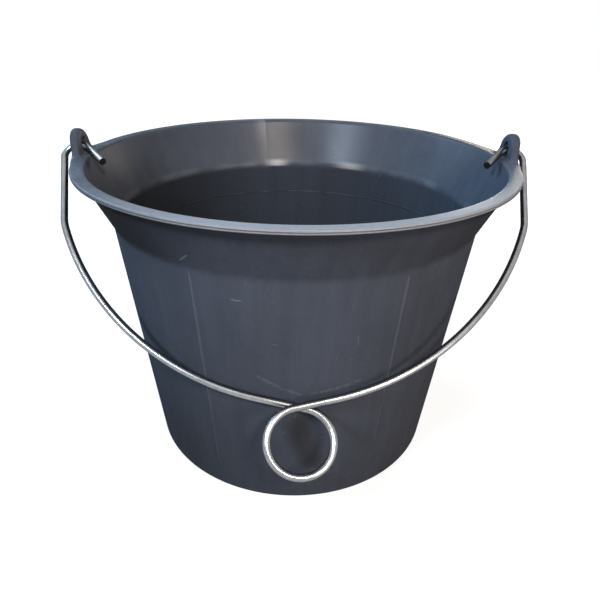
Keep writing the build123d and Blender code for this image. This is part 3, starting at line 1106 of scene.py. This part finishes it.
def ridge_tree():
    """A ridge drawn up the wall as a flat tube that sinks in at both ends, repeated round the axis."""
    tree, given, identifiers = geometry_tree(
        "wall_ridges",
        {
            "Count": "NodeSocketInt",
            "Gather": "NodeSocketFloat",
            "Width": "NodeSocketFloat",
            "Height": "NodeSocketFloat",
            "Foot": "NodeSocketFloat",
            "Top": "NodeSocketFloat",
            "Base Radius": "NodeSocketFloat",
            "Slope": "NodeSocketFloat",
            "Material": "NodeSocketMaterial",
        },
    )
    points_round = 25
    points_up = 61
    sheet = tree.node(
        "GeometryNodeMeshGrid",
        {},
        {"Size X": 1.0, "Size Y": 1.0, "Vertices X": points_round, "Vertices Y": points_up},
    )
    split = tree.node("ShaderNodeSeparateXYZ", {}, {"Vector": tree.node("GeometryNodeInputPosition")})
    around = split.out("X") * (2 * pi)
    up = split.out("Y") + 0.5
    # A circle's arc of the asked width and height is what shows; the rest of the tube lies in the wall
    sunk_share = 1.2
    sunk = given["Height"] * sunk_share
    reach = given["Height"] + sunk
    spread = given["Width"] * 0.5 * reach / tree.math("SQRT", reach * reach - sunk * sunk)
    # Each end sinks in over one part in sixteen of the length
    taper_rate = 16.0
    taper_round = 0.3
    taper = tree.math("MINIMUM", up, 1.0 - up) * taper_rate
    taper = tree.math("SMOOTH_MIN", taper, 1.0, taper_round)
    taper = tree.math("MAXIMUM", taper, 0.0)
    height = given["Foot"] + (given["Top"] - given["Foot"]) * up
    radius = given["Base Radius"] + given["Slope"] * height
    radius = radius + taper * reach * tree.math("COSINE", around) - sunk
    sideways = taper * spread * tree.math("SINE", around)
    place = tree.node("ShaderNodeCombineXYZ", {}, {"X": radius, "Y": sideways, "Z": height})
    tube = tree.node("GeometryNodeSetPosition", {}, {"Geometry": sheet, "Position": place})
    tube = tree.node("GeometryNodeMergeByDistance", {}, {"Geometry": tube, "Distance": sliver_length})
    turns = tree.node("GeometryNodeInputIndex") * (2 * pi) / given["Count"]
    gathered = turns + given["Gather"] * tree.math("SINE", turns * 2.0)
    euler = tree.node("ShaderNodeCombineXYZ", {}, {"Z": gathered})
    rotation = tree.node("FunctionNodeEulerToRotation", {}, {"Euler": euler})
    spots = tree.node("GeometryNodeMeshLine", {}, {"Count": given["Count"], "Offset": (0, 0, 0)})
    ridges = tree.node(
        "GeometryNodeInstanceOnPoints", {}, {"Points": spots, "Instance": tube, "Rotation": rotation}
    )
    finish_geometry(tree, ridges, given["Material"])
    return tree, identifiers


class BUCKET_OT_ridges(bpy.types.Operator):
    """Make the fine upright ridges on the outside of the wall"""

    bl_idname = "bucket.ridges"
    bl_label = "Ridges"

    def execute(self, context):
        shell = context.scene.bucket_shell
        sizes = context.scene.bucket_ridges
        chosen = {
            "Count": sizes.count,
            "Gather": sizes.gather,
            "Width": sizes.width,
            "Height": sizes.height,
            "Foot": sizes.foot,
            "Top": shell.kink_height + sizes.fade,
            "Base Radius": shell.base_radius,
            "Slope": (shell.kink_radius - shell.base_radius) / shell.kink_height,
            "Material": plastic_finish(),
        }
        ridges = show("wall_ridges", bpy.data.meshes.new("wall_ridges"))
        ridges.data = grow(ridges, *ridge_tree(), chosen)
        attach(ridges, "bucket")
        return {"FINISHED"}


class BailRoute:
    """Middle line of the bail's wire, from the right hook's cut end round the ring to the left one."""

    bend_step = 4 * MM
    bend_turn = radians(7)
    least_bend_steps = 6
    run_step = 8 * MM
    least_run_steps = 2
    ring_steps = 96

    def __init__(self, bail):
        self.bail = bail
        self.legs = bail.leg_lean
        self.shoulder = bail.leg_lean + bail.shoulder_turn
        self.crossing = pi / 2 - bail.cross_angle
        self.hook = pi / 2 - bail.hook_turn
        self.ring_radius = (bail.ring_inside + bail.wire) / 2
        self.middle = -bail.side_play / 2
        self.pin_outer = (bail.hole_outer - bail.outer_inset, 0)
        self.leg_top = self.turned(self.pin_outer, bail.outer_bend, -pi / 2, self.legs)
        self.leg_foot = self.ahead(self.leg_top, bail.leg_length, self.legs)
        self.bow_start = self.turned(self.leg_foot, bail.shoulder_bend, self.legs, self.shoulder)
        self.pin_inner = (bail.hole_inner + bail.hook_inset, 0)
        self.hook_start = self.turned(self.pin_inner, -bail.hook_bend, pi / 2, self.hook)
        self.hook_tip = self.ahead(self.hook_start, bail.hook_length, self.hook)
        # Both arms cross at the same depth, with the ring a little off the middle
        self.bow_across = cos(self.shoulder) - cos(self.crossing)
        self.bow_down = sin(self.crossing) - sin(self.shoulder)
        ring_reach = self.ring_radius * cos(self.crossing)
        straight_across = bail.straight_run * sin(self.crossing)
        straight_down = bail.straight_run * cos(self.crossing)
        self.even_bow = (self.bow_start[0] + ring_reach - straight_across) / self.bow_across
        self.uneven = bail.ring_shift / (
            sin(self.crossing) * self.bow_down - cos(self.crossing) * self.bow_across
        )
        self.drop = self.bow_start[1] + self.even_bow * self.bow_down + straight_down
        # The ring hangs where its mount says, and the strands lie in front of it and behind it
        self.offset = (bail.wire + bail.strand_gap) / 2
        self.ring_tilt = atan2(-ring_place[1], hinge_place[2] - ring_place[2])
        self.strand_tilt = asin(self.offset / self.drop)

    def ahead(self, point, run, heading):
        """End of a straight run; a heading is from straight down, positive towards the middle."""
        return (point[0] - run * sin(heading), point[1] + run * cos(heading))

    def turned(self, point, radius, start, end):
        """End of a bend from one heading to another; a negative radius bends the other way."""
        return (point[0] + radius * (cos(end) - cos(start)), point[1] + radius * (sin(end) - sin(start)))

    def bend(self, point, radius, start, end):
        """Points of a bend."""
        turn = end - start
        by_length = int(abs(turn * radius) / self.bend_step)
        count = max(self.least_bend_steps, by_length, int(abs(turn) / self.bend_turn))
        headings = [start + turn * step / count for step in range(count + 1)]
        return [self.turned(point, radius, start, heading) for heading in headings]

    def run(self, start, end):
        """Points of a straight run."""
        across, down = end[0] - start[0], end[1] - start[1]
        count = max(self.least_run_steps, int(hypot(across, down) / self.run_step))
        return [
            (start[0] + across * step / count, start[1] + down * step / count) for step in range(count + 1)
        ]

    def hung(self, points, tilt, hand):
        """Flat points of an arm, hung in space at a tilt from straight down."""
        return [
            (self.middle + hand * across, -down * sin(tilt), hinge_place[2] - down * cos(tilt))
            for across, down in points
        ]

    def arm(self, tilt, hand):
        """One arm, from the hook's cut end to the crossing."""
        bail = self.bail
        bow_radius = self.even_bow + hand * self.uneven * cos(self.crossing)
        last_run = bail.straight_run - hand * self.uneven * self.bow_down
        bow_end = self.turned(self.bow_start, bow_radius, self.shoulder, self.crossing)
        bevel = self.ahead(self.hook_tip, -bail.cut_edge, self.hook)
        hooked = [self.hook_tip] + self.run(bevel, self.hook_start)
        hooked += self.bend(self.pin_inner, -bail.hook_bend, pi / 2, self.hook)[-2::-1]
        flat = self.run(self.pin_inner, self.pin_outer)[1:]
        flat += self.bend(self.pin_outer, bail.outer_bend, -pi / 2, self.legs)[1:]
        flat += self.run(self.leg_top, self.leg_foot)[1:]
        flat += self.bend(self.leg_foot, bail.shoulder_bend, self.legs, self.shoulder)[1:]
        flat += self.bend(self.bow_start, bow_radius, self.shoulder, self.crossing)[1:]
        flat += self.run(bow_end, self.ahead(bow_end, last_run, self.crossing))[1:]
        return self.hung(hooked, tilt + bail.hook_twist, hand) + self.hung(flat, tilt, hand)

    def ring(self):
        """One turn below the crossing, from the front strand to the back one."""
        bail = self.bail
        down = np.array((0, -sin(self.ring_tilt), -cos(self.ring_tilt)))
        out = np.array((0, -cos(self.ring_tilt), sin(self.ring_tilt)))
        middle = self.drop * cos(self.strand_tilt) + self.ring_radius * cos(bail.cross_angle)
        points = []
        for part in np.linspace(0, 1, self.ring_steps + 1)[1:-1]:
            turn = bail.cross_angle + (2 * pi - 2 * bail.cross_angle) * part
            across = self.middle + bail.ring_shift - self.ring_radius * sin(turn)
            below = middle - self.ring_radius * cos(turn)
            place = np.array((across, 0, hinge_place[2])) + down * below
            points.append(tuple(place + out * self.offset * cos(pi * part)))
        return points

    def points(self):
        """The whole wire."""
        right = self.arm(self.ring_tilt + self.strand_tilt, 1)
        left = self.arm(self.ring_tilt - self.strand_tilt, -1)
        return right + self.ring() + left[::-1]


def wire_tree():
    """A round section swept along a route, with the way along it and round it kept for the finish."""
    tree, given, identifiers = geometry_tree(
        "bail_wire",
        {
            "Route": "NodeSocketGeometry",
            "Wire": "NodeSocketFloat",
            "Sides": "NodeSocketInt",
            "Material": "NodeSocketMaterial",
        },
    )
    along = tree.node("GeometryNodeSplineParameter").out("Length")
    route = tree.node(
        "GeometryNodeStoreNamedAttribute",
        {"data_type": "FLOAT", "domain": "POINT"},
        {"Geometry": given["Route"], "Name": "along", "Value": along},
    )
    circle = tree.node(
        "GeometryNodeCurvePrimitiveCircle", {"mode": "RADIUS"}, {"Resolution": given["Sides"], "Radius": 1.0}
    )
    circle = tree.node(
        "GeometryNodeStoreNamedAttribute",
        {"data_type": "FLOAT_VECTOR", "domain": "POINT"},
        {"Geometry": circle, "Name": "section", "Value": tree.node("GeometryNodeInputPosition")},
    )
    half = given["Wire"] * 0.5
    size = tree.node("ShaderNodeCombineXYZ", {}, {"X": half, "Y": half, "Z": half})
    circle = tree.node("GeometryNodeTransform", {}, {"Geometry": circle, "Scale": size})
    swept = tree.node(
        "GeometryNodeCurveToMesh", {}, {"Curve": route, "Profile Curve": circle, "Fill Caps": True}
    )
    finish_geometry(tree, swept, given["Material"])
    return tree, identifiers


class BUCKET_OT_bail(bpy.types.Operator):
    """Make the wire bail with its hooks, legs, bows and ring"""

    bl_idname = "bucket.bail"
    bl_label = "Wire bail"

    def execute(self, context):
        sizes = context.scene.bucket_bail
        points = BailRoute(sizes).points()
        wire_length = sum(np.linalg.norm(np.diff(np.array(points), axis=0), axis=1))
        route = bpy.data.curves.new("bail_route", "CURVE")
        route.dimensions = "3D"
        spline = route.splines.new("POLY")
        spline.points.add(len(points) - 1)
        for spot, place in zip(spline.points, points):
            spot.co = (*place, 1.0)
            spot.radius = 1.0
        for end in (0, -1):
            spline.points[end].radius = 1 - 2 * sizes.cut_edge / sizes.wire
        drawn = show("bail_route", route)
        chosen = {
            "Wire": sizes.wire,
            "Sides": sizes.sides,
            "Material": zinc_finish(float(wire_length)),
        }
        mesh = grow(drawn, *wire_tree(), chosen)
        bpy.data.objects.remove(drawn)
        mesh.name = "bail_wire"
        mesh.set_sharp_from_angle(angle=wire_crease)
        bail = show("bail_wire", mesh)
        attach(bail, "bail")
        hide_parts("wire_bail")
        return {"FINISHED"}


def white_for_picture(tree):
    """1 for what the picture, a reflection or a see-through part sees, and 0 for what lights the scene."""
    path = tree.node("ShaderNodeLightPath")
    seen = path.out("Is Camera Ray") + path.out("Is Glossy Ray") + path.out("Is Transmission Ray")
    return tree.math("MINIMUM", seen, 1.0)


def stage_floor(choice):
    """A wide pale floor that keeps a soft shadow."""
    reach = 4.0
    mesh = bpy.data.meshes.new("floor")
    corners = [(-reach, -reach, 0), (reach, -reach, 0), (reach, reach, 0), (-reach, reach, 0)]
    mesh.from_pydata(corners, [], [(0, 1, 2, 3)])
    floor = show("floor", mesh)
    material, tree = new_material("pale_floor")
    place = tree.node("ShaderNodeTexCoord").out("Object")
    away = tree.node("ShaderNodeVectorMath", {"operation": "LENGTH"}, {"Vector": place}).out("Value")
    shadow_reach = 0.3
    all_white = 0.9
    lift = choice.floor_glow + (1.0 - choice.floor_glow) * tree.ramp(away, shadow_reach, all_white)
    matt = tree.node("ShaderNodeBsdfDiffuse", {}, {"Color": opaque(choice.floor)})
    glow = tree.node("ShaderNodeEmission", {}, {"Color": white_for_picture(tree) * lift, "Strength": 1.0})
    surface(tree, tree.node("ShaderNodeAddShader", {}, {0: matt, 1: glow}))
    mesh.materials.append(material)


def stage_world(choice):
    """White to look at, and a cool even light on the object."""
    world = bpy.data.worlds.new("soft_sky")
    world.use_nodes = True
    world.node_tree.nodes.clear()
    tree = Tree(world.node_tree)
    sky = opaque(choice.sky)
    light = tree.node("ShaderNodeBackground", {}, {"Color": sky, "Strength": choice.sky_level})
    white = tree.node("ShaderNodeBackground", {}, {"Color": (1, 1, 1, 1), "Strength": 1.0})
    both = tree.node("ShaderNodeMixShader", {}, {0: white_for_picture(tree), 1: light, 2: white})
    tree.node("ShaderNodeOutputWorld", {}, {"Surface": both})
    bpy.context.scene.world = world


def soft_lamp(name, bearing, height, size, power, tint):
    """A square lamp that looks at the bucket; bearing is in degrees from the front, height in degrees up."""
    reach = 1.35
    aim = Vector((0.0, 0.0, 0.15))
    bearing, height = radians(bearing), radians(height)
    level = reach * cos(height)
    away = Vector((level * sin(bearing), -level * cos(bearing), reach * sin(height)))
    lamp = bpy.data.lights.new(name, "AREA")
    lamp.shape = "SQUARE"
    lamp.size = size
    lamp.energy = power
    lamp.color = tint
    stand = show(name, lamp)
    stand.location = aim + away
    stand.rotation_euler = (-away).to_track_quat("-Z", "Y").to_euler()


def stage_camera():
    """The camera of the photograph: a little above the mouth, close, and turned by a degree."""
    camera = bpy.data.cameras.new("camera")
    camera.sensor_fit = "HORIZONTAL"
    camera.sensor_width = 36.0
    camera.lens = 31.51
    camera.shift_x = 0.0105
    camera.shift_y = 0.0237
    camera.clip_start = 0.01
    place = Vector((-9.97, -393.97, 316.7)) * MM
    forward = Vector((0.0220, 0.8694, -0.4937)).normalized()
    roll_angle = -0.0181
    right = forward.cross(Vector((0, 0, 1))).normalized()
    up = right.cross(forward)
    roll = Matrix.Rotation(roll_angle, 4, forward)
    turn = Matrix((right, up, -forward)).transposed().to_4x4()
    stand = show("camera", camera)
    stand.matrix_world = Matrix.Translation(place) @ roll @ turn
    bpy.context.scene.camera = stand


class BUCKET_OT_stage(bpy.types.Operator):
    """Make the floor, the light and the camera"""

    bl_idname = "bucket.stage"
    bl_label = "Stage"

    def execute(self, context):
        choice = context.scene.bucket_stage
        context.scene.view_settings.view_transform = "Standard"
        stage_floor(choice)
        stage_world(choice)
        lamps = [
            ("front_light", 15, 38, 0.22, choice.front_power, (1.0, 0.85, 0.68)),
            ("left_light", -38, 38, 0.22, choice.left_power, (0.69, 0.82, 1.0)),
            ("low_light", 32, 13, 0.5, choice.low_power, (1.0, 0.82, 0.78)),
            ("back_light", -128, 34, 0.7, choice.back_power, (0.47, 0.73, 1.0)),
            ("right_light", 148, 6, 0.5, choice.right_power, (1.0, 0.88, 0.76)),
        ]
        for lamp in lamps:
            soft_lamp(*lamp)
        stage_camera()
        return {"FINISHED"}


class BUCKET_PT_sidebar(bpy.types.Panel):
    """Lists the bucket's pieces, sizes and colours"""

    bl_idname = "BUCKET_PT_sidebar"
    bl_label = "Builder's Bucket"
    bl_space_type = "VIEW_3D"
    bl_region_type = "UI"
    bl_category = "Bucket"

    def draw(self, context):
        sections = [
            ("bucket_shell", [BUCKET_OT_moulding]),
            ("bucket_ears", []),
            ("bucket_ridges", [BUCKET_OT_ridges]),
            ("bucket_bail", [BUCKET_OT_bail]),
            ("bucket_finish", []),
            ("bucket_stage", [BUCKET_OT_stage]),
        ]
        for group, operators in sections:
            box = self.layout.box()
            settings = getattr(context.scene, group)
            for name in type(settings).__annotations__:
                box.prop(settings, name)
            for operator in operators:
                box.operator(operator.bl_idname)


settings_groups = {
    "bucket_shell": ShellSizes,
    "bucket_ears": EarSizes,
    "bucket_ridges": RidgeSizes,
    "bucket_bail": BailSizes,
    "bucket_finish": FinishChoices,
    "bucket_stage": StageChoices,
}
classes = [
    *settings_groups.values(),
    BUCKET_OT_moulding,
    BUCKET_OT_ridges,
    BUCKET_OT_bail,
    BUCKET_OT_stage,
    BUCKET_PT_sidebar,
]


def register():
    for made in classes:
        bpy.utils.register_class(made)
    for name, group in settings_groups.items():
        setattr(bpy.types.Scene, name, PointerProperty(type=group))


def unregister():
    for name in settings_groups:
        delattr(bpy.types.Scene, name)
    for made in reversed(classes):
        bpy.utils.unregister_class(made)


def main():
    register()
    bpy.ops.bucket.moulding()
    bpy.ops.bucket.ridges()
    bpy.ops.bucket.bail()
    bpy.ops.bucket.stage()


if __name__ == "__main__":
    main()
